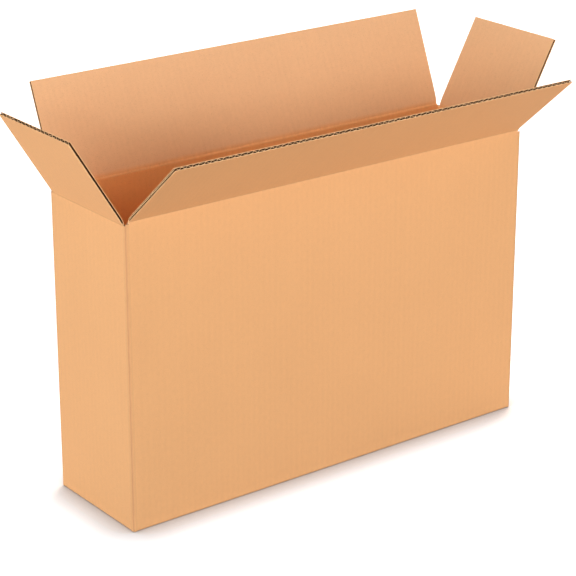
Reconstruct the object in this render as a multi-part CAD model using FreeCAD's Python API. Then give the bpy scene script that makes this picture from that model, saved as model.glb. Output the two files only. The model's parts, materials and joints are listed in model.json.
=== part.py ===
"""An open, tall and narrow box of single-wall corrugated board, folded from one sheet.

It is an overlap slotted box: the flaps are deeper than half the width, so the
front one laps over the rear one. The bottom is folded shut and glued, and the
four top flaps stand open at their own angles.
Millimetres. X runs along the length, Y to the rear, Z up. The origin is the
middle of the base.
"""
import FreeCAD, Part
import math
import os

from FreeCAD import Vector

# The box, outside
box_length = 570.0
box_width = 152.0
box_height = 365.0
flap_depth = 119.0

# The board: two liners on a waved medium
board = 4.0
liner = 0.35
medium = 0.3
flute_pitch = 7.7
glue_land = 0.9

# Scores, folds and slots
slot_width = 11.0
slot_overcut = 1.0
fold_radius = 3.0
inner_fold_radius = 1.0
fold_gap = 0.15
crushed_band = 3.0
flap_clearance = 0.2

# The glued bottom and the glued joint of the tube
lap_clearance = 1.0
lap_rise = 16.0
minor_root_gap = 0.5
tab_width = 35.0
tab_taper = 12.0
tab_margin = 6.0
joint_gap = 1.0

# How far each top flap leans outward from upright, in degrees
front_lean = 48.4
rear_lean = 22.0
left_lean = 32.0
right_lean = 28.7

# The end flaps close under the long ones, so their scores lie one board lower
score_step = board + flap_clearance
major_score = box_height + score_step / 2
minor_score = box_height - score_step / 2
major_span = box_length - slot_width
minor_span = box_width - slot_width
past = 2 * board

X_AXIS = Vector(1, 0, 0)
Z_AXIS = Vector(0, 0, 1)
ORIGIN = Vector(0, 0, 0)

# Each wall: its flap's name, turn about Z from the front, distance, span, score height, lean
walls = [
    ("front_flap", 0, box_width / 2, major_span, major_score, front_lean),
    ("rear_flap", 180, box_width / 2, major_span, major_score, rear_lean),
    ("left_flap", -90, box_length / 2, minor_span, minor_score, left_lean),
    ("right_flap", 90, box_length / 2, minor_span, minor_score, right_lean),
]


def centred_box(size_x, size_y, low, high):
    """A block centred on the Z axis between two heights."""
    corner = Vector(-size_x / 2, -size_y / 2, low)
    return Part.makeBox(size_x, size_y, high - low, corner)


def polygon_face(points):
    """A flat face from its corners, in order."""
    return Part.Face(Part.makePolygon(points + points[:1]))


def extrude_along_x(profile, start, end):
    """A bar with a (y, z) profile between two places on X."""
    corners = [Vector(start, y, z) for y, z in profile]
    return polygon_face(corners).extrude(Vector(end - start, 0, 0))


def put_on_wall(shape, distance, height, turn):
    """Moves a shape made at the front score's middle to its own wall."""
    shape.translate(Vector(0, -distance, height))
    shape.rotate(ORIGIN, Z_AXIS, turn)
    return shape


def tunnel_corners(pitch):
    """Corners of the air tunnel under one flute, from its left foot to its right foot."""
    swing = board / 2 - liner - medium / 2
    corners = [(pitch / 2 - glue_land / 2, liner)]
    for x in (pitch / 3, pitch / 8):
        phase = 2 * math.pi * x / pitch
        slope = swing * 2 * math.pi / pitch * math.sin(phase)
        half_medium = medium / 2 * math.hypot(1, slope)
        corners.append((x, board / 2 + swing * math.cos(phase) - half_medium))
    return [(-x, y) for x, y in corners] + corners[::-1]


def fluted_section(span, height):
    """The board's section across its flutes, seen from above, with every tunnel open."""
    count = max(2, round(span / flute_pitch))
    pitch = span / count
    under = tunnel_corners(pitch)
    over = [(x, board - y) for x, y in under]
    half = span / 2

    # A slot cuts the last flute through its middle, which leaves an open notch
    cut_flute = [(x, y) for x, y in over if x < 0]
    right_notch = [(half + x, y) for x, y in cut_flute]
    left_notch = [(-x, y) for x, y in reversed(right_notch)]
    crest = cut_flute[-1][1]
    outline = [(-half, 0), (half, 0), (half, crest)]
    outline += right_notch[::-1] + [(half, board - liner), (half, board)]
    outline += [(-half, board), (-half, board - liner)]
    outline += left_notch[::-1] + [(-half, crest)]

    tunnels = [[(x - half + (i + 0.5) * pitch, y) for x, y in under] for i in range(count)]
    tunnels += [[(x - half + i * pitch, y) for x, y in over] for i in range(1, count)]
    wires = []
    for ring in [outline] + tunnels:
        points = [Vector(x, y, height) for x, y in ring]
        wires.append(Part.makePolygon(points + points[:1]))
    return Part.Face(wires, "Part::FaceMakerBullseye")


def make_flap(span, lean):
    """One top flap: crushed root at the score, open flutes from there to the free edge."""
    flute_start = fold_gap + board + crushed_band
    root_profile = [
        (0, fold_gap),
        (board, fold_gap + board),
        (board, flute_start),
        (0, flute_start),
    ]
    root = extrude_along_x(root_profile, -span / 2, span / 2)
    fluted = fluted_section(span, flute_start).extrude(Vector(0, 0, flap_depth - flute_start))
    flap = root.fuse(fluted)
    flap.rotate(ORIGIN, X_AXIS, lean)
    return flap


def make_tube():
    """The four wall panels, as one tube."""
    outer = centred_box(box_length, box_width, 0, major_score)
    inner = centred_box(box_length - 2 * board, box_width - 2 * board, -board, major_score + board)
    upright = [e for e in inner.Edges if abs(e.tangentAt(e.FirstParameter).z) > 0.5]
    return outer.cut(inner.makeFillet(inner_fold_radius, upright))


def make_bottom():
    """The glued bottom: the front flap outermost, the rear one lapped inside, end flaps on top."""
    half = box_width / 2
    front_edge = flap_depth - half
    rear_edge = half - flap_depth
    front = [(-half, 0), (front_edge, 0), (front_edge, board), (-half, board)]

    # The rear flap starts on the floor and climbs over the front flap's free edge
    climbed = front_edge + lap_clearance
    foot = min(climbed + lap_rise, half - board)
    rear = [
        (half, 0),
        (foot, 0),
        (climbed, board),
        (rear_edge, board),
        (rear_edge, 2 * board),
        (climbed, 2 * board),
        (foot, board),
        (half, board),
    ]
    pieces = [extrude_along_x(p, -major_span / 2, major_span / 2) for p in (front, rear)]

    root = slot_width / 2 - minor_root_gap
    end_half = box_length / 2
    free_edge = flap_depth - end_half
    for turn in (0, 180):
        profile = [
            (-end_half, 0),
            (root - end_half, 0),
            (root - end_half, 2 * board),
            (free_edge, 2 * board),
            (free_edge, 3 * board),
            (-end_half, 3 * board),
        ]
        corners = [Vector(x, -minor_span / 2, z) for x, z in profile]
        end_flap = polygon_face(corners).extrude(Vector(0, minor_span, 0))
        end_flap.rotate(ORIGIN, Z_AXIS, turn)
        pieces.append(end_flap)
    return pieces


def make_glue_tab():
    """The tube's joint: a tab of the rear panel, glued inside the right end panel."""
    fold = box_width / 2 - board
    low = 3 * board + tab_margin
    high = minor_score - board - tab_margin
    profile = [
        (fold, low),
        (fold, high),
        (fold - tab_width, high - tab_taper),
        (fold - tab_width, low + tab_taper),
    ]
    face = box_length / 2 - board
    return extrude_along_x(profile, face - board, face)


def make_envelope():
    """The folded sheet's outer form, with every fold rounded."""
    block = centred_box(box_length, box_width, 0, major_score)
    folds = [e for e in block.Edges if e.BoundBox.ZMin < box_height / 2]
    return block.makeFillet(fold_radius, folds)


def corner_cuts():
    """The slots' ends at all corners, top and bottom, and the open line of the glued joint."""
    cuts = []
    size = slot_width / 2 + past
    for side_x in (-1, 1):
        for side_y in (-1, 1):
            x = side_x * (major_span / 2 + size / 2) - size / 2
            y = side_y * (minor_span / 2 + size / 2) - size / 2
            top = Vector(x, y, minor_score - slot_overcut)
            cuts.append(Part.makeBox(size, size, score_step + past, top))
            cuts.append(Part.makeBox(size, size, slot_overcut + past, Vector(x, y, -past)))
    corner = Vector(box_length / 2 - board, box_width / 2 - joint_gap, -past)
    cuts.append(Part.makeBox(past, past, major_score + 2 * past, corner))
    return cuts


def score_cuts():
    """The crushed inner side of each top score, where the flap folds in over its wall."""
    cuts = []
    for name, turn, distance, span, score, lean in walls:
        profile = [
            (-past, past - fold_gap),
            (past, -past - fold_gap),
            (past, score_step + past),
            (-past, score_step + past),
        ]
        cut = extrude_along_x(profile, -span / 2, span / 2)
        cuts.append(put_on_wall(cut, distance, score, turn))
    return cuts


def make_body():
    """Walls, glued bottom and glue tab: everything that is folded and glued for good."""
    tube = make_tube()
    sheet = tube.fuse(make_bottom() + [make_glue_tab()])
    body = make_envelope().common(sheet)
    return body.cut(corner_cuts() + score_cuts()).removeSplitter()


def save(name, shape):
    """Checks that a node is one sound solid and writes it."""
    if len(shape.Solids) != 1 or not shape.isValid():
        raise ValueError(name + " is not one sound solid")
    solid = shape.Solids[0]
    solid.exportStep("parts/" + name + ".step")
    print(name, "volume", round(solid.Volume), "mm3, faces", len(solid.Faces))


os.makedirs("parts", exist_ok=True)
save("box_body", make_body())
for name, turn, distance, span, score, lean in walls:
    save(name, put_on_wall(make_flap(span, lean), distance, score, turn))
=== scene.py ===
"""Dresses the open corrugated box and sets up its studio.

Each panel of the box is drawn with its top flap and bottom flap as one stretch
of folded board: two liners on a waved medium, crushed where the board is scored
and open at the cut edges. Lengths are in metres unless a name says otherwise.
"""

import json
import math
from collections import namedtuple

import bmesh
import bpy
import numpy as np
from bpy.props import FloatProperty, FloatVectorProperty, IntProperty, PointerProperty
from bpy.types import Operator, Panel, PropertyGroup
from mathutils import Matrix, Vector


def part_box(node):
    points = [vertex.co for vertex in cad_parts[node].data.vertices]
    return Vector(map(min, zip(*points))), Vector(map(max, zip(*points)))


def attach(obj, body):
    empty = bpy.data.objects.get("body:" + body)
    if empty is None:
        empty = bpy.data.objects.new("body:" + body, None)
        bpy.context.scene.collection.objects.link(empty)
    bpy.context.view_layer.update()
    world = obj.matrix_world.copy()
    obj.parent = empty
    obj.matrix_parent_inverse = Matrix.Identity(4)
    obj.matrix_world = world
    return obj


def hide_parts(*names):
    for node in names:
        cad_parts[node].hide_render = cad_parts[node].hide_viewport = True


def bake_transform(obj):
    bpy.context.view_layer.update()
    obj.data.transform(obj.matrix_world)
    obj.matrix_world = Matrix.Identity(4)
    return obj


bl_info = {
    "name": "Open corrugated box",
    "version": (1, 0, 0),
    "blender": (4, 5, 0),
    "location": "3D View > Sidebar > Box",
    "description": "Folded corrugated board with scored creases and open flutes, in a studio",
    "category": "Object",
}

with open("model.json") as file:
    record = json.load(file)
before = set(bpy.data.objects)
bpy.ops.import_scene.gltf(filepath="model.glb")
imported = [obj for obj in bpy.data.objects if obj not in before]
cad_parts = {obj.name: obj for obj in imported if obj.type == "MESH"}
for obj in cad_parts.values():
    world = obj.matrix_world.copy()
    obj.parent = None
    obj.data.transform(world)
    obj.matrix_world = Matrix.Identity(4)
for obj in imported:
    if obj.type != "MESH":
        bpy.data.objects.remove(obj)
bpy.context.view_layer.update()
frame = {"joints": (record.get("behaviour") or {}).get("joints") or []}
BODY_LOW, BODY_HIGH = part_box("box_body")
LENGTH = BODY_HIGH.x - BODY_LOW.x
WIDTH = BODY_HIGH.y - BODY_LOW.y
LOWER_SCORE = min(joint["pos_m"][2] for joint in frame["joints"])
MM = 0.001
QUARTER_TURN = math.radians(90)
EIGHTH_TURN = math.radians(45)

Wall = namedtuple("Wall", "side turn panel distance bottom edges phase span score lean depth")
Row = namedtuple("Row", "along outer inner part")
Column = namedtuple("Column", "across phase turn edge")
Lamp = namedtuple("Lamp", "name place aim_height size tint")

# Each wall's turn about Z, width, distance, bottom flap, edges and flute at its slots
SIDES = {
    "front": (0, LENGTH, WIDTH / 2, "outer", ("fold", "fold"), 0.3),
    "rear": (180, LENGTH, WIDTH / 2, "lapped", ("tucked", "fold"), 0.0),
    "left": (-90, WIDTH, LENGTH / 2, "inner", ("fold", "fold"), 0.0),
    "right": (90, WIDTH, LENGTH / 2, "inner", ("fold", "cut"), 0.0),
}

# The board from outside to inside: liner, air, medium, air, liner. Six faces part them.
OUTER_AIR, INNER_AIR, LAYERS = 1, 3, 5
FACES = LAYERS + 1
OUTER_HALF = np.array([1, 1, 1, 0, 0, 0])
# Kinds of face: liner, cut edge, and the faces inside the open flutes, which carry painted shade
LINER_FACE, CUT_FACE, TUNNEL_FACE = 0, 1, 2

# Where the columns stand in one flute, as shares of its pitch from one foot to the next
FLUTE_MARKS = (0.06, 0.14, 0.25, 0.36, 0.44, 0.56, 0.64, 0.75, 0.86, 0.94)

# How far the rows stand from a score, closest beside it, and where the plain rows begin
SCORE_STEPS = [step * MM for step in (0, 0.6, 1.2, 1.9, 2.7, 3.6, 4.7, 6.2, 8)]
SCORE_REACH = 11 * MM
FOLD_REACH = 14 * MM
FOLD_STEPS = 5

# Two columns or faces that are nearer than this are in one place
TOUCHING = 1e-7

# Faces that meet at more degrees than this keep a sharp edge between them
SHARP_ANGLE = 32

# Spots per metre of each pattern in the papers: across the flutes, along them, through them
GRAIN = {
    "clouds": (9, 9, 9),
    "formation": (210, 150, 60),
    "fibres": (420, 2400, 400),
    "streaks": (190, 7, 60),
    "specks": (900, 1500, 900),
    "fluff": (1300, 900, 2600),
    "patches": (160, 160, 160),
    "mottle": (300, 300, 300),
}

# The studio's lamps, large beside the box so that their shadows are soft
LAMPS = [
    Lamp("front_lamp", (-1.2, -7.2, 3.0), 0.25, 3.9, (1, 1, 1)),
    Lamp("left_lamp", (-7.2, -2.2, 0.9), 0.25, 3.9, (0.97, 0.99, 1)),
    Lamp("rear_lamp", (5.2, 5.2, 0.9), 0.25, 3.9, (1, 1, 1)),
    Lamp("top_lamp", (2.2, 1.4, 3.6), 0.35, 1.6, (1, 0.85, 0.75)),
]


class BoxBoardSettings(PropertyGroup):
    """The board's section, its scores and its folds."""

    caliper: FloatProperty(
        name="Board thickness",
        description="Over both liners",
        default=4 * MM,
        unit="LENGTH",
    )
    liner: FloatProperty(
        name="Liner",
        description="Thickness of each flat outer paper",
        default=0.45 * MM,
        unit="LENGTH",
    )
    medium: FloatProperty(
        name="Medium",
        description="Thickness of the waved inner paper",
        default=0.35 * MM,
        unit="LENGTH",
    )
    burr: FloatProperty(
        name="Burr",
        description="How much thicker the knife leaves each paper at a cut edge",
        default=0.18 * MM,
        unit="LENGTH",
    )
    pitch: FloatProperty(
        name="Flute pitch",
        description="From one flute to the next",
        default=7.7 * MM,
        unit="LENGTH",
    )
    show_through: FloatProperty(
        name="Washboard",
        description="How far each liner dips between the flutes",
        default=0.04 * MM,
        unit="LENGTH",
    )
    fold_radius: FloatProperty(
        name="Fold radius",
        description="Outside radius of the folded edges",
        default=3 * MM,
        unit="LENGTH",
    )
    score_depth: FloatProperty(
        name="Score depth",
        description="How far the inner liner is crushed along a score",
        default=1.5 * MM,
        unit="LENGTH",
    )
    slot_step: FloatProperty(
        name="Slot step",
        description="Height of the long panels' slot ends above the end panels' scores",
        default=1.6 * MM,
        unit="LENGTH",
    )
    slot_overcut: FloatProperty(
        name="Slot overcut",
        description="How far each bottom slot runs up the fold",
        default=1 * MM,
        unit="LENGTH",
    )
    joint_gap: FloatProperty(
        name="Joint gap",
        description="Open line at the corner where the sheet's ends are glued",
        default=1 * MM,
        unit="LENGTH",
    )
    tab_width: FloatProperty(
        name="Glue tab",
        description="Width of the tab inside the glued corner",
        default=35 * MM,
        unit="LENGTH",
    )
    tab_taper: FloatProperty(
        name="Tab taper",
        description="How much lower the tab is at its free edge, at each end",
        default=12 * MM,
        unit="LENGTH",
    )
    tab_margin: FloatProperty(
        name="Tab margin",
        description="From the tab's ends to the bottom flaps and to the score",
        default=6 * MM,
        unit="LENGTH",
    )
    ripple: FloatProperty(
        name="Ripple",
        description="How far the wide panels wander from flat",
        default=0.3 * MM,
        unit="LENGTH",
    )
    flute_steps: IntProperty(
        name="Flute rows",
        description="Rows of faces from a score to a flap's free edge",
        default=4,
        min=2,
    )


class BoxColourSettings(PropertyGroup):
    """The colours of the papers, and the painted light and shade on the board's inner face and
    in its flutes.
    """

    liner: FloatVectorProperty(
        name="Liner",
        description="Brown paper on the outside of the box",
        default=(0.86, 0.41, 0.18),
        subtype="COLOR",
        min=0,
        max=1,
    )
    # Painted light: a paler colour for the top flaps' inner face, where light falls on it
    flap_lining: FloatVectorProperty(
        name="Flap lining",
        description="Paler brown paper on the inner side of the top flaps",
        default=(0.88, 0.45, 0.23),
        subtype="COLOR",
        min=0,
        max=1,
    )
    # Painted shade: a deeper colour for the inner face below the top scores, inside the box
    # where shade falls
    wall_lining: FloatVectorProperty(
        name="Wall lining",
        description="Deeper brown of the same paper down inside the box",
        default=(0.88, 0.355, 0.12),
        subtype="COLOR",
        min=0,
        max=1,
    )
    cut: FloatVectorProperty(
        name="Cut edge",
        description="Raw paper where the board is cut",
        default=(1.0, 0.54, 0.28),
        subtype="COLOR",
        min=0,
        max=1,
    )
    # Partly the medium's own darker colour, partly painted shade: near-black on every face
    # inside the open flutes
    medium: FloatVectorProperty(
        name="Medium",
        description="Darker paper of the waved layer",
        default=(0.10, 0.035, 0.012),
        subtype="COLOR",
        min=0,
        max=1,
    )


class BoxStudioSettings(PropertyGroup):
    """Lamps, room light and camera."""

    front_lamp: FloatProperty(
        name="Front lamp",
        description="Power of the large lamp in front, in watts",
        default=322,
    )
    left_lamp: FloatProperty(
        name="Left lamp",
        description="Power of the large low lamp on the left, in watts",
        default=545,
    )
    rear_lamp: FloatProperty(
        name="Rear lamp",
        description="Power of the large low lamp behind and to the right, in watts",
        default=260,
    )
    top_lamp: FloatProperty(
        name="Top lamp",
        description="Power of the lamp above and behind, in watts",
        default=145,
    )
    wall_light: FloatProperty(
        name="Wall light",
        description="Strength of the soft light from the room's sides",
        default=1.25,
    )
    ceiling_light: FloatProperty(
        name="Ceiling light",
        description="Strength of the soft light from straight above",
        default=0.03,
    )
    contact_reach: FloatProperty(
        name="Contact shade",
        description="How far the floor stays shaded beside the box",
        default=45 * MM,
        unit="LENGTH",
    )
    lens: FloatProperty(
        name="Lens",
        description="Focal length in millimetres",
        default=134.1,
    )
    camera_at: FloatVectorProperty(
        name="Camera",
        description="Where the camera stands",
        default=(-1.444, -1.887, 1.115),
        subtype="TRANSLATION",
        unit="LENGTH",
    )
    camera_heading: FloatProperty(
        name="Heading",
        description="Direction of view, from +Y towards +X",
        default=math.radians(37.22),
        subtype="ANGLE",
    )
    camera_tilt: FloatProperty(
        name="Tilt",
        description="Direction of view below level",
        default=math.radians(20.97),
        subtype="ANGLE",
    )


# Small curves


def smooth(share):
    """From 0 to 1 with a soft start and a soft end, while the share goes from 0 to 1."""
    share = min(max(share, 0), 1)
    return share * share * (3 - 2 * share)


def swell(distance, reach):
    """A rounded swell: 1 where there is no distance, and little past its reach."""
    return math.exp(-((distance / reach) ** 2))


# The box's walls, from the frame


def read_wall(side, caliper):
    """Takes one wall's score, flap depth and lean from its joint and its flap's corners."""
    distance = SIDES[side][2]
    joint = next(j for j in frame["joints"] if j["child"] == side + "_flap")
    score = joint["pos_m"][2]
    low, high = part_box(side + "_flap")
    rise = high.z - score
    if side in ("front", "rear"):
        span = high.x - low.x
        reach = max(-low.y, high.y) - distance
    else:
        span = high.y - low.y
        reach = max(-low.x, high.x) - distance

    # The flap's highest corner is on its inner face, so the lean is closed in on
    tries = 8
    lean = math.atan2(reach, rise)
    for _ in range(tries):
        lean = math.atan2(reach, rise - caliper * math.sin(lean))
    return Wall(side, *SIDES[side], span, score, lean, reach / math.sin(lean))


def slot_end(wall, board):
    """Where this wall's top slots end, against its own score."""
    least = 0.3 * MM
    return min(LOWER_SCORE + board.slot_step - wall.score, -least)


# The folded board's rows, from the bottom flap's free edge up to the top flap's


def bottom_rows(wall, board):
    """The bottom flap and its fold, in (inward, up) places of the outer and the inner face."""
    t, r = board.caliper, board.fold_radius
    corner = t + 0.5 * MM
    edge_band, foot, lap_clearance = 12 * MM, 16 * MM, 1 * MM
    if wall.bottom == "inner":
        root = r + 2 * MM
        inner_low = 3 * t + 0.5 * MM
        stations = (wall.depth, wall.depth - edge_band, 60 * MM, 20 * MM, root + 2 * MM)
        places = [((a, 2 * t), (a, 3 * t)) for a in stations]
        places += [((root, 2 * t), (corner + 0.5 * MM, 3 * t + 0.1 * MM))]
        places += [((root, r / 2), (corner + 0.2 * MM, 3 * t + 0.2 * MM))]
    else:
        step = t if wall.bottom == "lapped" else 0
        climbed = WIDTH - wall.depth - lap_clearance
        inner_low = corner
        stations = (wall.depth, wall.depth - edge_band, 80 * MM, climbed + 8 * MM, climbed)
        line = [(a, step) for a in stations]
        line += [(foot + s * (climbed - foot), step * smooth(s)) for s in (0.75, 0.5, 0.25)]
        line += [(foot, 0), (corner + 4 * MM, 0)]
        places = [((a, b), (a, b + t)) for a, b in line]

    along = -wall.score
    rows = [Row(along - outer[0], outer, inner, "bottom") for outer, inner in places]
    for i in range(FOLD_STEPS + 1):
        angle = QUARTER_TURN * (1 - i / FOLD_STEPS)
        sin, cos = math.sin(angle), math.cos(angle)
        outer = (r - r * cos, r - r * sin)
        inner = (corner - (corner - t) * cos, inner_low - (corner - t) * sin)
        rows.append(Row(along + outer[1] - outer[0], outer, inner, "fold"))
    return rows


def panel_rows(wall, board):
    """The upright panel, from the bottom fold to the crushed band of the top score."""
    heights = np.linspace(FOLD_REACH, wall.score - SCORE_REACH, 9)
    return [Row(b - wall.score, (0, b), (board.caliper, b), "panel") for b in heights]


def crush_at(s, board):
    """How far the inner liner is pressed in: sharply on the panel's side of the score."""
    ledge, steep, gentle = -0.8 * MM, 1.1 * MM, 4 * MM
    past_ledge = s - ledge
    if past_ledge < 0:
        return board.score_depth * swell(past_ledge, steep)
    return board.score_depth * math.exp(-past_ledge / gentle)


def score_rows(wall, board):
    """The crushed top score, where the board bends from the panel into the flap."""
    bend = 2.5 * MM
    groove_depth, groove_reach = 0.45 * MM, 0.9 * MM
    lip_height, lip_at, lip_reach = 0.2 * MM, 2.8 * MM, 1.4 * MM
    sin, cos = math.sin(wall.lean), math.cos(wall.lean)
    end = slot_end(wall, board)
    places = [-step for step in SCORE_STEPS[:0:-1]] + SCORE_STEPS
    places = sorted([s for s in places if abs(s - end) > 0.25 * MM] + [end])
    rows = []
    for s in places:
        share = min(max((s + bend) / (2 * bend), 0), 1)
        angle = wall.lean * smooth(share)
        if s < -bend:
            path = (0, s)
        elif s > bend:
            path = (-s * sin, s * cos)
        else:
            path = (-bend * sin * share**2, bend * (cos * share**2 - (1 - share) ** 2))
        normal = (math.cos(angle), math.sin(angle))
        dent = groove_depth * swell(s, groove_reach)
        dent -= lip_height * swell(abs(s) - lip_at, lip_reach)
        thick = board.caliper - crush_at(s, board)
        outer = (path[0] + dent * normal[0], wall.score + path[1] + dent * normal[1])
        inner = (path[0] + thick * normal[0], wall.score + path[1] + thick * normal[1])
        rows.append(Row(s, outer, inner, "panel" if s <= end else "top"))
    return rows


def flap_rows(wall, board):
    """The open top flap, from its crushed root to its free edge."""
    sin, cos = math.sin(wall.lean), math.cos(wall.lean)
    steps = list(np.linspace(SCORE_REACH, wall.depth, board.flute_steps + 1))
    rows = []
    for s in steps[:-1] + [wall.depth - 1 * MM, wall.depth]:
        outer = (-s * sin, wall.score + s * cos)
        inner = (outer[0] + board.caliper * cos, outer[1] + board.caliper * sin)
        rows.append(Row(s, outer, inner, "flute"))
    return rows


# The board's columns, across its flutes


def flute_columns(wall, board):
    """Columns over the flaps' span, with the same part of a flute cut by both slots."""
    count = round(wall.span / board.pitch)
    pitch = wall.span / count
    half = wall.span / 2
    columns = [Column(-half, wall.phase, 0, None)]
    for i in range(count + 1):
        for mark in FLUTE_MARKS:
            across = (i + mark - wall.phase) * pitch - half
            if abs(across) < half - 0.1 * MM:
                columns.append(Column(across, mark, 0, None))
    columns.append(Column(half, wall.phase, 0, None))
    return columns


def edge_columns(wall, board, side):
    """Columns from a slot's edge to the panel's own edge: round half a fold, or to a cut."""
    edge = wall.edges[0] if side < 0 else wall.edges[1]
    start = wall.span / 2
    columns = []
    if edge == "cut":
        end = wall.panel / 2 - board.joint_gap
        for share in (0.33, 0.67, 1):
            phase = wall.phase + 0.3 * share
            columns.append(Column(side * (start + share * (end - start)), phase, 0, edge))
    elif edge == "tucked":
        radius = wall.panel / 2 - board.caliper - start
        for share in (0.25, 0.5, 0.75, 1):
            turn = QUARTER_TURN * share
            columns.append(Column(side * (start + radius * turn), 0, turn, edge))
    else:
        flat_end = wall.panel / 2 - board.fold_radius
        for share in (0.5, 1):
            columns.append(Column(side * (start + share * (flat_end - start)), 0, 0, edge))
        for share in (0.3, 0.55, 0.75, 0.88, 1):
            turn = EIGHTH_TURN * share
            columns.append(Column(side * (flat_end + board.fold_radius * turn), 0, turn, edge))
    return columns if side > 0 else columns[::-1]


def layer_places(column, board, burr=0):
    """The six faces between layers, as distances from the outer face."""
    t, liner, medium = board.caliper, board.liner + burr, board.medium + burr
    swing = t / 2 - liner - medium / 2
    phase = column.phase
    glued = 0.1
    if phase < glued or phase > 1 - glued:
        wave, slope = -1, 0
    elif abs(phase - 0.5) < glued:
        wave, slope = 1, 0
    else:
        wave = -math.cos(2 * math.pi * phase)
        slope = math.sin(2 * math.pi * phase) * 2 * math.pi * swing / board.pitch
    middle = t / 2 + swing * wave
    half = medium / 2 * math.hypot(1, slope)
    under = max(liner, middle - half)
    over = min(t - liner, middle + half)
    return [0, liner, under, over, t - liner, t]


def all_layers(columns, board, burr=0):
    """The faces between layers at every column, as an array of face by column."""
    return np.array([layer_places(column, board, burr) for column in columns]).T


def flute_wave(columns):
    """Where each column stands over the flutes: 1 at a foot, -1 at a crest, 0 past the slots."""
    return np.array([0 if c.edge else math.cos(2 * math.pi * c.phase) for c in columns])


def edge_place(wall, board, column, depth_share):
    """Where a column beyond the slot's edge lies, as (across, inward)."""
    t, r = board.caliper, board.fold_radius
    tight = 0.6 * MM
    groove_depth, groove_reach = 0.5 * MM, 0.24
    half = wall.panel / 2
    side = math.copysign(1, column.across)
    sin, cos = math.sin(column.turn), math.cos(column.turn)
    if column.edge == "cut":
        outer, inner = (abs(column.across), 0), (abs(column.across), t)
    elif column.edge == "tucked":
        r = half - t - wall.span / 2
        outer = (wall.span / 2 + r * sin, r - r * cos)
        inner = (outer[0], t)
    elif column.turn == 0:
        outer = (abs(column.across), 0)
        inner = (min(abs(column.across), half - t - tight), t)
    else:
        groove = groove_depth * swell(column.turn - EIGHTH_TURN, groove_reach)
        outer = (half - r + (r - groove) * sin, r - (r - groove) * cos)
        inner = (half - t - tight + tight * sin, t + tight - tight * cos)
    across = outer[0] + depth_share * (inner[0] - outer[0])
    inward = outer[1] + depth_share * (inner[1] - outer[1])
    return side * across, inward


def ripple_at(wall, board, across, height):
    """A slow wander of the panel from flat, nothing at its folds."""
    flat_band = 60 * MM

    # Waves of 9 to 31 radians per metre, which meet differently on each panel
    seed = wall.turn / 50 + 2
    wander = math.sin(across * 21 + seed) * math.sin(height * 17 + 2 * seed)
    wander += 0.6 * math.sin(across * 9 - height * 31 + seed * 3)
    edge = min(wall.panel / 2 - abs(across), height, wall.score - height)
    return board.ripple * wander * smooth(edge / flat_band)


# Turning rows and columns into closed board


def board_points(wall, board, rows, columns):
    """Every point of the board: face, row and column, in (across, inward, up)."""
    across = np.array([c.across for c in columns])
    plain = all_layers(columns, board) / board.caliper
    burred = all_layers(columns, board, board.burr) / board.caliper
    at_slot = abs(abs(across) - wall.span / 2) < TOUCHING
    washboard = board.show_through * flute_wave(columns)
    points = np.zeros((FACES, len(rows), len(columns), 3))
    points[..., 0] = across
    for i, row in enumerate(rows):
        outer, inner = np.array(row.outer), np.array(row.inner)
        normal = (inner - outer) / np.linalg.norm(inner - outer)
        cut = at_slot & (row.part in ("top", "flute"))
        if i in (0, len(rows) - 1):
            cut = np.ones(len(columns), bool)
        share = np.where(cut, burred, plain)[:, :, None]
        place = outer * (1 - share) + inner * share
        if row.part == "panel":
            place[..., 0] += [ripple_at(wall, board, x, outer[1]) for x in across]
        place[0] += np.outer(washboard + board.show_through, normal) / 2
        place[-1] += np.outer(washboard - board.show_through, normal) / 2
        points[:, i, :, 1:] = place
    fray_free_edge(wall, rows, points)
    return points


def fray_free_edge(wall, rows, points):
    """Makes the top flap's cut edge slightly ragged, with the medium a little further in."""
    ragged, medium_back, medium_faces = 0.1 * MM, 0.3 * MM, (2, 3)
    furthest_in, furthest_out = -0.5 * MM, 0.2 * MM
    random = np.random.default_rng(7 + wall.turn % 360)
    wander = ragged * random.normal(size=(2, points.shape[2]))
    free = np.array(rows[-1].outer) - np.array(rows[-2].outer)
    free = free / np.linalg.norm(free)
    for face in range(FACES):
        out = wander[0] if OUTER_HALF[face] else wander[1]
        if face in medium_faces:
            out = out - medium_back
        out = out.clip(furthest_in, furthest_out) - ragged
        points[face, -1, :, 1:] += np.outer(out, free)


def sheet_places(board, rows, columns):
    """Each point's place on the flat sheet: across the flutes, along them, through them."""
    places = np.zeros((FACES, len(rows), len(columns), 3))
    places[..., 0] = [column.across for column in columns]
    places[..., 1] = np.array([row.along for row in rows])[:, None]
    places[..., 2] = all_layers(columns, board)[:, None, :]
    return places


def bend_corners(wall, board, rows, columns, points):
    """Wraps the outer columns round the vertical folds."""
    upright = [i for i, row in enumerate(rows) if row.part in ("fold", "panel")]
    first = min(upright)
    last_fold = max(i for i, row in enumerate(rows) if row.part == "fold")
    rise = board.fold_radius - board.slot_overcut
    shares = all_layers(columns, board) / board.caliper
    for j, column in enumerate(columns):
        if column.edge is None:
            continue
        for face in range(FACES):
            across, inward = edge_place(wall, board, column, shares[face, j])
            for i in upright:
                height = wall.score + rows[i].along
                if i <= last_fold:
                    height = board.slot_overcut + rise * (i - first) / (last_fold - first)
                points[face, i, j] = (across, inward, height)


def between(marks):
    """From columns to the cells between them: true beside either marked column."""
    marks = np.array(marks)
    return marks[1:] | marks[:-1]


def tunnels(columns, board):
    """Which cells have air on the outer side of the medium, and which on its inner side."""
    layers = all_layers(columns, board)
    return [between(layers[k + 1] - layers[k] > TOUCHING) for k in (OUTER_AIR, INNER_AIR)]


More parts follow.
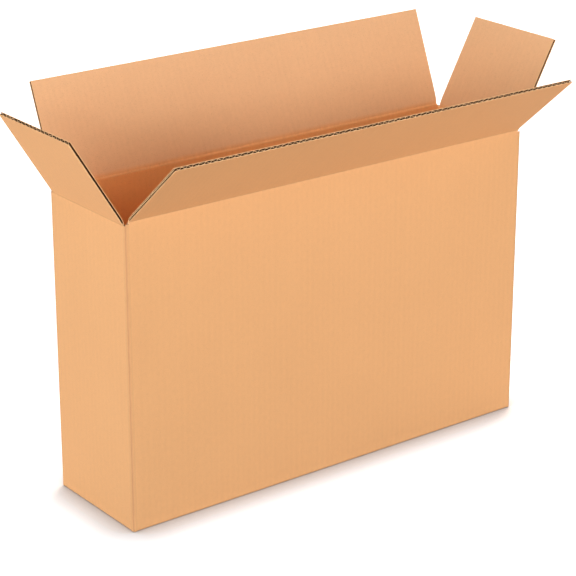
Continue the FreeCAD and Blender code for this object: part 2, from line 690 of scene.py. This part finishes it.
def board_cells(wall, board, rows, columns):
    """Which cells between the points hold paper, and which are slot, tunnel or air."""
    solid = np.ones((LAYERS, len(rows) - 1, len(columns) - 1), bool)
    outer_air, inner_air = tunnels(columns, board)
    beyond_slot = between([c.edge is not None for c in columns])
    at_cut = between([c.edge == "cut" for c in columns])
    across = np.array([abs(c.across) for c in columns])
    beside_slot = np.minimum(across[1:], across[:-1]) > wall.span / 2 - board.pitch
    cut_open, crushed_from = 7 * MM, 0.5 * MM
    open_fold = slot_end(wall, board) - cut_open
    for i, (low, high) in enumerate(zip(rows, rows[1:])):
        upright = low.part in ("fold", "panel") and high.part in ("fold", "panel")
        if not upright:
            solid[:, i, beyond_slot] = False

        # Flutes are open at the free edges, beside the slots and along the glued corner
        if i == 0 or (low.part == "flute" and high.part == "flute"):
            opened = ~beyond_slot
        else:
            crushed = low.part != "flute" and low.along > crushed_from
            opened = beside_slot & ~beyond_slot & crushed
        if upright:
            opened = opened | at_cut
        solid[OUTER_AIR, i, outer_air & opened] = False
        solid[INNER_AIR, i, inner_air & opened] = False

        # The slot's end leaves the flute in the vertical fold open for a short way below it
        if upright and low.along > open_fold:
            solid[INNER_AIR, i, beyond_slot] = False
    return solid


def cell_faces(solid):
    """Quads between paper and air, facing the air, with each one's kind of surface."""
    grid = np.arange(np.prod([size + 1 for size in solid.shape]))
    grid = grid.reshape([size + 1 for size in solid.shape])
    quads, kinds = [], []
    for axis in range(3):
        padded = np.pad(solid, [(1, 1) if a == axis else (0, 0) for a in range(3)])
        size = padded.shape[axis]
        before = np.take(padded, range(size - 1), axis)
        after = np.take(padded, range(1, size), axis)
        around = [a for a in range(3) if a != axis]
        for facing, found in ((1, before & ~after), (-1, ~before & after)):
            where = np.argwhere(found)
            corners = []
            for du, dv in ((0, 0), (1, 0), (1, 1), (0, 1)):
                spot = where.copy()
                spot[:, around[0]] += du
                spot[:, around[1]] += dv
                corners.append(grid[spot[:, 0], spot[:, 1], spot[:, 2]])
            quad = np.column_stack(corners)
            turned = facing if axis != 1 else -facing
            quads.append(quad if turned > 0 else quad[:, ::-1])
            if axis == 0:
                # Faces inside the open flutes, of medium and liner alike, take the dark medium
                # paper with its painted shade
                inside = (where[:, 0] > 0) & (where[:, 0] < LAYERS)
                kinds.append(np.where(inside, TUNNEL_FACE, LINER_FACE))
            else:
                kinds.append(np.full(len(where), CUT_FACE))
    return np.concatenate(quads), np.concatenate(kinds)


def turned_to_wall(points, wall):
    """From (across, inward, up) to the frame: turned about Z and set out to the wall."""
    angle = math.radians(wall.turn)
    x = points[..., 0]
    y = points[..., 1] - wall.distance
    result = np.empty_like(points)
    result[..., 0] = x * math.cos(angle) - y * math.sin(angle)
    result[..., 1] = x * math.sin(angle) + y * math.cos(angle)
    result[..., 2] = points[..., 2]
    return result


def wear_and_ledge_highlight_of(wall, rows, columns):
    """How rubbed each point is: 1 beside a score or fold; more on the inner liner's ledge, a
    painted highlight where the ledge faces up.
    """
    reach = 2.5 * MM
    ledge_highlight, ledge_at, ledge_reach = 2.5, -1.4 * MM, 0.9 * MM
    row_wear = [0.7 if r.part == "fold" else math.exp(-abs(r.along) / reach) for r in rows]
    column_wear = [math.exp(-abs(wall.panel / 2 - abs(c.across)) / reach) for c in columns]
    worn = np.maximum(np.array(row_wear)[:, None], np.array(column_wear)[None, :])
    # Painted highlight: the inner liner's upward ledge made lighter
    ledge = np.array([ledge_highlight * swell(r.along - ledge_at, ledge_reach) for r in rows])
    inner_half = 1 - OUTER_HALF
    return np.maximum(worn[None, :, :], inner_half[:, None, None] * ledge[None, :, None])


def painted_crease_shade_of(board, rows, columns):
    """Painted shade along a fold, or along a score on the outer face: 1 along its middle."""
    fold_reach, score_reach, score_share = 1.8 * MM, 0.8 * MM, 0.5
    folds = np.zeros(len(columns))
    for j, column in enumerate(columns):
        if column.edge == "fold":
            folds[j] = swell(board.fold_radius * (EIGHTH_TURN - column.turn), fold_reach)
    scores = np.array([score_share * swell(r.along, score_reach) for r in rows])
    return np.maximum(OUTER_HALF[:, None, None] * scores[None, :, None], folds[None, None, :])


def make_mesh(name, points, places, marks, solid, materials):
    """One closed mesh of board, with its place on the sheet kept for the materials."""
    quads, kinds = cell_faces(solid)
    used, quads = np.unique(quads, return_inverse=True)
    quads = quads.reshape(-1, 4)
    mesh = bpy.data.meshes.new(name)
    mesh.from_pydata(points.reshape(-1, 3)[used].tolist(), [], quads.tolist())
    mesh.polygons.foreach_set("material_index", kinds.astype(np.int32))
    spot = mesh.attributes.new("board", "FLOAT_VECTOR", "POINT")
    spot.data.foreach_set("vector", places.reshape(-1, 3)[used].ravel().astype(np.float32))
    for label, values in marks.items():
        layer = mesh.attributes.new(label, "FLOAT", "POINT")
        spread = np.broadcast_to(values, points.shape[:3]).reshape(-1)[used]
        layer.data.foreach_set("value", spread.astype(np.float32))

    # Where the medium lies on a liner their faces meet, so points in one place are joined
    work = bmesh.new()
    work.from_mesh(mesh)
    bmesh.ops.remove_doubles(work, verts=work.verts, dist=2e-6)
    bmesh.ops.dissolve_degenerate(work, edges=work.edges, dist=1e-6)
    work.to_mesh(mesh)
    work.free()
    mesh.shade_smooth()
    mesh.set_sharp_from_angle(angle=math.radians(SHARP_ANGLE))
    for material in materials:
        mesh.materials.append(material)
    piece = bpy.data.objects.new(name, mesh)
    bpy.context.collection.objects.link(piece)
    return piece


def make_sheet(side, board, materials):
    """One panel of the box with its top and bottom flaps, bent at the top score."""
    wall = read_wall(side, board.caliper)
    rows = bottom_rows(wall, board) + panel_rows(wall, board)
    rows += score_rows(wall, board) + flap_rows(wall, board)
    columns = edge_columns(wall, board, -1) + flute_columns(wall, board)
    columns += edge_columns(wall, board, 1)
    points = board_points(wall, board, rows, columns)
    bend_corners(wall, board, rows, columns, points)
    points = turned_to_wall(points, wall)
    places = sheet_places(board, rows, columns)
    solid = board_cells(wall, board, rows, columns)
    # Marks for the materials: flute place, wear with a painted highlight on the inner ledge, and
    # painted shade along the creases
    marks = {
        "flute": flute_wave(columns),
        "wear": wear_and_ledge_highlight_of(wall, rows, columns),
        "crease": painted_crease_shade_of(board, rows, columns),
    }
    piece = make_mesh(side + "_sheet", points, places, marks, solid, materials)

    flap = side + "_flap"
    bend = 5 * MM
    start = np.array([[0, 0, wall.score - bend]])
    end_inward = -bend * math.sin(wall.lean)
    end = np.array([[0, end_inward, wall.score + bend * math.cos(wall.lean)]])
    start, end = turned_to_wall(start, wall)[0], turned_to_wall(end, wall)[0]
    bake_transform(piece)
    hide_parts("box_body", flap)
    return piece


def make_glue_tab(board, materials):
    """The joint's tab, folded off the rear panel and glued inside the right end panel."""
    t = board.caliper
    low = 3 * t + board.tab_margin
    high = LOWER_SCORE - t - board.tab_margin
    count = round(board.tab_width / board.pitch)
    pitch = board.tab_width / count
    phases = (0, *FLUTE_MARKS)
    columns = [Column((i + p) * pitch, p, 0, None) for i in range(count) for p in phases]
    columns.append(Column(board.tab_width, 0, 0, None))

    # Rows from the tab's low end to its high one, as shares of its height
    levels = [0, 0.03, 0.2, 0.4, 0.6, 0.8, 0.97, 1]
    points = np.zeros((FACES, len(levels), len(columns), 3))
    places = np.zeros_like(points)
    for j, column in enumerate(columns):
        from_fold = board.tab_width - column.across
        taper = board.tab_taper * from_fold / board.tab_width
        for face, depth in enumerate(layer_places(column, board)):
            for i, level in enumerate(levels):
                height = low + taper + level * (high - low - 2 * taper)
                points[face, i, j] = (LENGTH / 2 - t - depth, WIDTH / 2 - t - from_fold, height)
                places[face, i, j] = (column.across, height - high, depth)

    # The flutes are open at the tab's slanted ends, and the first one along its free edge
    solid = np.ones((LAYERS, len(levels) - 1, len(columns) - 1), bool)
    for layer, hollow in zip((OUTER_AIR, INNER_AIR), tunnels(columns, board)):
        solid[layer, 0, hollow] = False
        solid[layer, -1, hollow] = False
    first_cells = 3
    solid[INNER_AIR, :, :first_cells] = False
    none = np.zeros(len(columns))
    marks = {"flute": flute_wave(columns), "wear": none, "crease": none}
    piece = make_mesh("glue_tab", points, places, marks, solid, materials)
    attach(piece, "box_body")
    return piece


# Papers


def add_node(tree, kind, **values):
    """A node with some of its settings or unlinked sockets given by name."""
    node = tree.nodes.new(kind)
    for key, value in values.items():
        if hasattr(node, key):
            setattr(node, key, value)
        else:
            node.inputs[key.replace("_", " ").title()].default_value = value
    return node


def point_mark(tree, label):
    """A mark that the mesh keeps at each of its points."""
    return add_node(tree, "ShaderNodeAttribute", attribute_name=label)


def paper_noise(tree, grain, detail, roughness=0.55):
    """Cloudy noise laid on the flat sheet, as fine as its grain."""
    mapping = add_node(tree, "ShaderNodeMapping")
    mapping.inputs["Scale"].default_value = GRAIN[grain]
    tree.links.new(point_mark(tree, "board").outputs["Vector"], mapping.inputs["Vector"])
    cloud = add_node(tree, "ShaderNodeTexNoise", scale=1.0, detail=detail, roughness=roughness)
    tree.links.new(mapping.outputs["Vector"], cloud.inputs["Vector"])
    return cloud.outputs["Fac"]


def math_node(tree, operation, first, second):
    """One step of arithmetic on two numbers, each a socket or a value."""
    node = add_node(tree, "ShaderNodeMath", operation=operation)
    for socket, value in zip(node.inputs, (first, second)):
        if isinstance(value, (int, float)):
            socket.default_value = value
        else:
            tree.links.new(value, socket)
    return node.outputs["Value"]


def times(tree, value, amount):
    """A number times an amount."""
    return math_node(tree, "MULTIPLY", value, amount)


def swing_of(tree, value, amount):
    """A noise turned into a change round zero."""
    return times(tree, math_node(tree, "SUBTRACT", value, 0.5), amount)


def total(tree, *values):
    """The sum of several numbers."""
    result = values[0]
    for value in values[1:]:
        result = math_node(tree, "ADD", result, value)
    return result


def mixed_colour(tree, share, first, second, blend="MIX"):
    """Two colours mixed by a share, each a socket or a colour."""
    node = add_node(tree, "ShaderNodeMix", data_type="RGBA", blend_type=blend)
    tree.links.new(share, node.inputs["Factor"])
    sockets = [s for s in node.inputs if s.type == "RGBA"]
    for socket, value in zip(sockets, (first, second)):
        if isinstance(value, bpy.types.NodeSocket):
            tree.links.new(value, socket)
        else:
            socket.default_value = (*value, 1)
    return next(s for s in node.outputs if s.type == "RGBA")


def scaled(colour, factor):
    """A colour made lighter or darker."""
    return tuple(min(c * factor, 1) for c in colour)


def shades(tree, value, colour, swing):
    """From darker to lighter round a colour, while a value swings round zero."""
    share = total(tree, value, 0.5)
    return mixed_colour(tree, share, scaled(colour, 1 - swing), scaled(colour, 1 + swing))


def new_paper(name, specular):
    """An empty material with its shader and how much it mirrors."""
    material = bpy.data.materials.new(name)
    material.use_nodes = True
    shader = material.node_tree.nodes["Principled BSDF"]
    shader.inputs["Specular IOR Level"].default_value = specular
    return material, material.node_tree, shader


def add_relief(tree, shader, height, strength, distance):
    """Small relief over the paper."""
    bump = add_node(tree, "ShaderNodeBump", strength=strength, distance=distance)
    tree.links.new(height, bump.inputs["Height"])
    tree.links.new(bump.outputs["Normal"], shader.inputs["Normal"])


def inner_painted_light(tree, tone, colours):
    """The liner's tone, turned on the board's inner face to painted shade below the top scores,
    inside the box, and to painted light on the top flaps.
    """
    change, outer_face = 4 * MM, 1 * MM
    split = add_node(tree, "ShaderNodeSeparateXYZ")
    tree.links.new(point_mark(tree, "board").outputs["Vector"], split.inputs["Vector"])
    on_flap = add_node(tree, "ShaderNodeMapRange", interpolation_type="SMOOTHSTEP")
    on_flap.inputs["From Min"].default_value = -change
    on_flap.inputs["From Max"].default_value = change
    tree.links.new(split.outputs["Y"], on_flap.inputs["Value"])
    # The painted shade and the painted light, as tints over the liner's colour
    tints = []
    for painted_tone in (colours.wall_lining, colours.flap_lining):
        tints.append(tuple(a / b for a, b in zip(painted_tone, colours.liner)))
    tint = mixed_colour(tree, on_flap.outputs["Result"], *tints)
    inner = math_node(tree, "GREATER_THAN", split.outputs["Z"], outer_face)
    return mixed_colour(tree, inner, tone, tint, "MULTIPLY")


def liner_paper(colours):
    """Brown kraft liner: cloudy formation, fibres across the flutes, specks, worn folds, a
    painted highlight on the inner ledge, painted shade along the creases and painted light and
    shade on the inner face.
    """
    material, tree, shader = new_paper("kraft_liner", specular=0.5)
    clouds = paper_noise(tree, "clouds", 3)
    formation = paper_noise(tree, "formation", 4, 0.6)
    fibres = paper_noise(tree, "fibres", 3, 0.65)
    streaks = paper_noise(tree, "streaks", 2)
    over_flute = point_mark(tree, "flute").outputs["Fac"]
    wear = point_mark(tree, "wear").outputs["Fac"]
    # Lighter where worn beside the scores and folds, and a painted highlight on the inner
    # liner's ledge
    rubbed_and_lit = times(tree, wear, total(tree, formation, -0.15))
    value = total(
        tree,
        swing_of(tree, clouds, 0.09),
        swing_of(tree, formation, 0.16),
        swing_of(tree, fibres, 0.22),
        times(tree, over_flute, 0.009),
        swing_of(tree, streaks, 0.045),
        times(tree, rubbed_and_lit, 0.25),
    )
    tone = shades(tree, value, colours.liner, 0.38)

    # Painted shade: darker along the folds and along the outer face's scores
    crease = point_mark(tree, "crease").outputs["Fac"]
    tone = mixed_colour(tree, times(tree, crease, 0.8), tone, scaled(colours.liner, 0.5))

    # Specks are the lowest spots of the finest noise, with soft edges
    speck_level, speck_slope, darkest = 0.36, 9, 0.35
    specks = paper_noise(tree, "specks", 2, 0.5)
    dark = times(tree, math_node(tree, "SUBTRACT", speck_level, specks), speck_slope)
    dark = math_node(tree, "MINIMUM", math_node(tree, "MAXIMUM", dark, 0), darkest)
    tone = mixed_colour(tree, dark, tone, scaled(colours.liner, 0.45))
    # On the inner face, painted shade inside the box and painted light on the top flaps
    tree.links.new(inner_painted_light(tree, tone, colours), shader.inputs["Base Color"])

    rough = total(tree, 0.78, swing_of(tree, formation, 0.25))
    tree.links.new(rough, shader.inputs["Roughness"])
    add_relief(tree, shader, total(tree, fibres, formation), 0.35, 0.2 * MM)
    return material


def edge_paper(colours):
    """Raw cut edge: fluffy, lighter and uneven."""
    material, tree, shader = new_paper("cut_edge", specular=0.1)
    shader.inputs["Roughness"].default_value = 0.95
    fluff = paper_noise(tree, "fluff", 4, 0.7)
    patches = paper_noise(tree, "patches", 3)
    value = total(tree, swing_of(tree, fluff, 0.7), swing_of(tree, patches, 0.3))
    tree.links.new(shades(tree, value, colours.cut, 0.25), shader.inputs["Base Color"])
    add_relief(tree, shader, fluff, 0.3, 0.3 * MM)
    return material


def medium_with_painted_shade(colours):
    """The waved paper inside the board, near-black as painted shade on every face inside the
    open flutes.
    """
    material, tree, shader = new_paper("fluting_medium", specular=0.1)
    shader.inputs["Roughness"].default_value = 0.9
    mottle = swing_of(tree, paper_noise(tree, "mottle", 4, 0.65), 0.8)
    tree.links.new(shades(tree, mottle, colours.medium, 0.3), shader.inputs["Base Color"])
    return material


def papers(context):
    """The three papers, made once, in the order of the kinds of face."""
    colours = context.scene.box_colours
    names = ("kraft_liner", "cut_edge", "fluting_medium")
    if all(name in bpy.data.materials for name in names):
        return [bpy.data.materials[name] for name in names]
    return [make(colours) for make in (liner_paper, edge_paper, medium_with_painted_shade)]


# Studio


def seen_rays(tree):
    """1 for rays from the camera, or met by a mirror or glass on their way."""
    path = add_node(tree, "ShaderNodeLightPath")
    mirrored = math_node(
        tree, "MAXIMUM", path.outputs["Is Glossy Ray"], path.outputs["Is Transmission Ray"]
    )
    return math_node(tree, "MAXIMUM", path.outputs["Is Camera Ray"], mirrored)


def floor_material(reach):
    """White floor that the camera sees as white, except where the box shades it."""
    material = bpy.data.materials.new("studio_floor")
    material.use_nodes = True
    tree = material.node_tree
    tree.nodes.clear()
    warm_grey, cool_white = (0.54, 0.48, 0.43, 1), (0.92, 0.96, 1, 1)
    contrast, full_glow = 2, 0.95
    matt = add_node(tree, "ShaderNodeBsdfDiffuse")
    matt.inputs["Color"].default_value = warm_grey
    glow = add_node(tree, "ShaderNodeEmission")
    glow.inputs["Color"].default_value = cool_white

    near = add_node(tree, "ShaderNodeAmbientOcclusion", samples=8)
    near.inputs["Distance"].default_value = reach
    shade = math_node(tree, "POWER", near.outputs["AO"], contrast)
    lift = times(tree, times(tree, seen_rays(tree), shade), full_glow)
    tree.links.new(lift, glow.inputs["Strength"])

    both = add_node(tree, "ShaderNodeAddShader")
    tree.links.new(matt.outputs["BSDF"], both.inputs[0])
    tree.links.new(glow.outputs["Emission"], both.inputs[1])
    out = add_node(tree, "ShaderNodeOutputMaterial")
    tree.links.new(both.outputs["Shader"], out.inputs["Surface"])
    return material


def make_floor(reach):
    """A wide plain floor, just under the box."""
    half, drop = 12, 0.2 * MM
    mesh = bpy.data.meshes.new("studio_floor")
    corners = [(-half, -half, 0), (half, -half, 0), (half, half, 0), (-half, half, 0)]
    mesh.from_pydata(corners, [], [(0, 1, 2, 3)])
    mesh.materials.append(floor_material(reach))
    floor = bpy.data.objects.new("studio_floor", mesh)
    bpy.context.collection.objects.link(floor)
    floor.location.z = -drop


def make_world(sides, ceiling):
    """Soft light, stronger from the sides than from above, with white behind the box."""
    world = bpy.data.worlds.new("studio")
    bpy.context.scene.world = world
    world.use_nodes = True
    tree = world.node_tree
    tree.nodes.clear()
    light = add_node(tree, "ShaderNodeBackground")
    white = add_node(tree, "ShaderNodeBackground")
    for background in (light, white):
        background.inputs["Color"].default_value = (1, 1, 1, 1)

    # The light falls off quickly from the horizon up
    steepness = 5
    direction = add_node(tree, "ShaderNodeTexCoord")
    split = add_node(tree, "ShaderNodeSeparateXYZ")
    tree.links.new(direction.outputs["Generated"], split.inputs["Vector"])
    height = math_node(tree, "MAXIMUM", split.outputs["Z"], 0)
    low = math_node(tree, "POWER", math_node(tree, "SUBTRACT", 1, height), steepness)
    strength = total(tree, times(tree, low, sides - ceiling), ceiling)
    tree.links.new(strength, light.inputs["Strength"])

    mix = add_node(tree, "ShaderNodeMixShader")
    tree.links.new(seen_rays(tree), mix.inputs["Fac"])
    tree.links.new(light.outputs["Background"], mix.inputs[1])
    tree.links.new(white.outputs["Background"], mix.inputs[2])
    out = add_node(tree, "ShaderNodeOutputWorld")
    tree.links.new(mix.outputs["Shader"], out.inputs["Surface"])


def make_lamp(lamp, power):
    """A square soft lamp at its place, turned to the box's middle."""
    data = bpy.data.lights.new(lamp.name, "AREA")
    data.shape = "SQUARE"
    data.size = lamp.size
    data.energy = power
    data.color = lamp.tint
    light = bpy.data.objects.new(lamp.name, data)
    bpy.context.collection.objects.link(light)
    light.location = lamp.place
    view = Vector((0, 0, lamp.aim_height)) - Vector(lamp.place)
    light.rotation_euler = view.to_track_quat("-Z", "Y").to_euler()


def make_camera(studio):
    """The camera at its place, looking slightly down on the box."""
    data = bpy.data.cameras.new("camera")
    data.sensor_width = 36
    data.lens = studio.lens
    camera = bpy.data.objects.new("camera", data)
    bpy.context.collection.objects.link(camera)
    camera.location = studio.camera_at
    heading, tilt = studio.camera_heading, studio.camera_tilt
    level = math.cos(tilt)
    view = Vector((math.sin(heading) * level, math.cos(heading) * level, -math.sin(tilt)))
    camera.rotation_euler = view.to_track_quat("-Z", "Y").to_euler()
    bpy.context.scene.camera = camera


class BOX_OT_long_sheets(Operator):
    """Folds the front and rear panels with their top and bottom flaps"""

    bl_idname = "box.long_sheets"
    bl_label = "Front and rear sheets"

    def execute(self, context):
        for side in ("front", "rear"):
            make_sheet(side, context.scene.box_board, papers(context))
        return {"FINISHED"}


class BOX_OT_end_sheets(Operator):
    """Folds the two end panels with their top and bottom flaps"""

    bl_idname = "box.end_sheets"
    bl_label = "End sheets"

    def execute(self, context):
        for side in ("left", "right"):
            make_sheet(side, context.scene.box_board, papers(context))
        return {"FINISHED"}


class BOX_OT_glue_tab(Operator):
    """Glues the tab inside the corner where the sheet's two ends meet"""

    bl_idname = "box.glue_tab"
    bl_label = "Glue tab"

    def execute(self, context):
        make_glue_tab(context.scene.box_board, papers(context))
        return {"FINISHED"}


class BOX_OT_studio(Operator):
    """Sets the floor, the lamps, the room light and the camera"""

    bl_idname = "box.studio"
    bl_label = "Studio"

    def execute(self, context):
        studio = context.scene.box_studio
        context.scene.view_settings.view_transform = "Standard"
        make_floor(studio.contact_reach)
        make_world(studio.wall_light, studio.ceiling_light)
        for lamp in LAMPS:
            make_lamp(lamp, getattr(studio, lamp.name))
        make_camera(studio)
        return {"FINISHED"}


class BOX_PT_panel(Panel):
    """The box's pieces and the studio, in the order they are made"""

    bl_label = "Corrugated box"
    bl_idname = "BOX_PT_panel"
    bl_space_type = "VIEW_3D"
    bl_region_type = "UI"
    bl_category = "Box"

    def draw(self, context):
        for operator in OPERATORS:
            self.layout.operator(operator.bl_idname)
        for group, settings_class in GROUPS:
            section = self.layout.box()
            for name in settings_class.__annotations__:
                section.prop(getattr(context.scene, group), name)


OPERATORS = [BOX_OT_long_sheets, BOX_OT_end_sheets, BOX_OT_glue_tab, BOX_OT_studio]
GROUPS = [
    ("box_board", BoxBoardSettings),
    ("box_colours", BoxColourSettings),
    ("box_studio", BoxStudioSettings),
]


def register():
    for name, group in GROUPS:
        bpy.utils.register_class(group)
        setattr(bpy.types.Scene, name, PointerProperty(type=group))
    for item in OPERATORS + [BOX_PT_panel]:
        bpy.utils.register_class(item)


def unregister():
    for item in [BOX_PT_panel] + OPERATORS[::-1]:
        bpy.utils.unregister_class(item)
    for name, group in reversed(GROUPS):
        delattr(bpy.types.Scene, name)
        bpy.utils.unregister_class(group)


def main():
    register()
    bpy.ops.box.long_sheets()
    bpy.ops.box.end_sheets()
    bpy.ops.box.glue_tab()
    bpy.ops.box.studio()


if __name__ == "__main__":
    main()
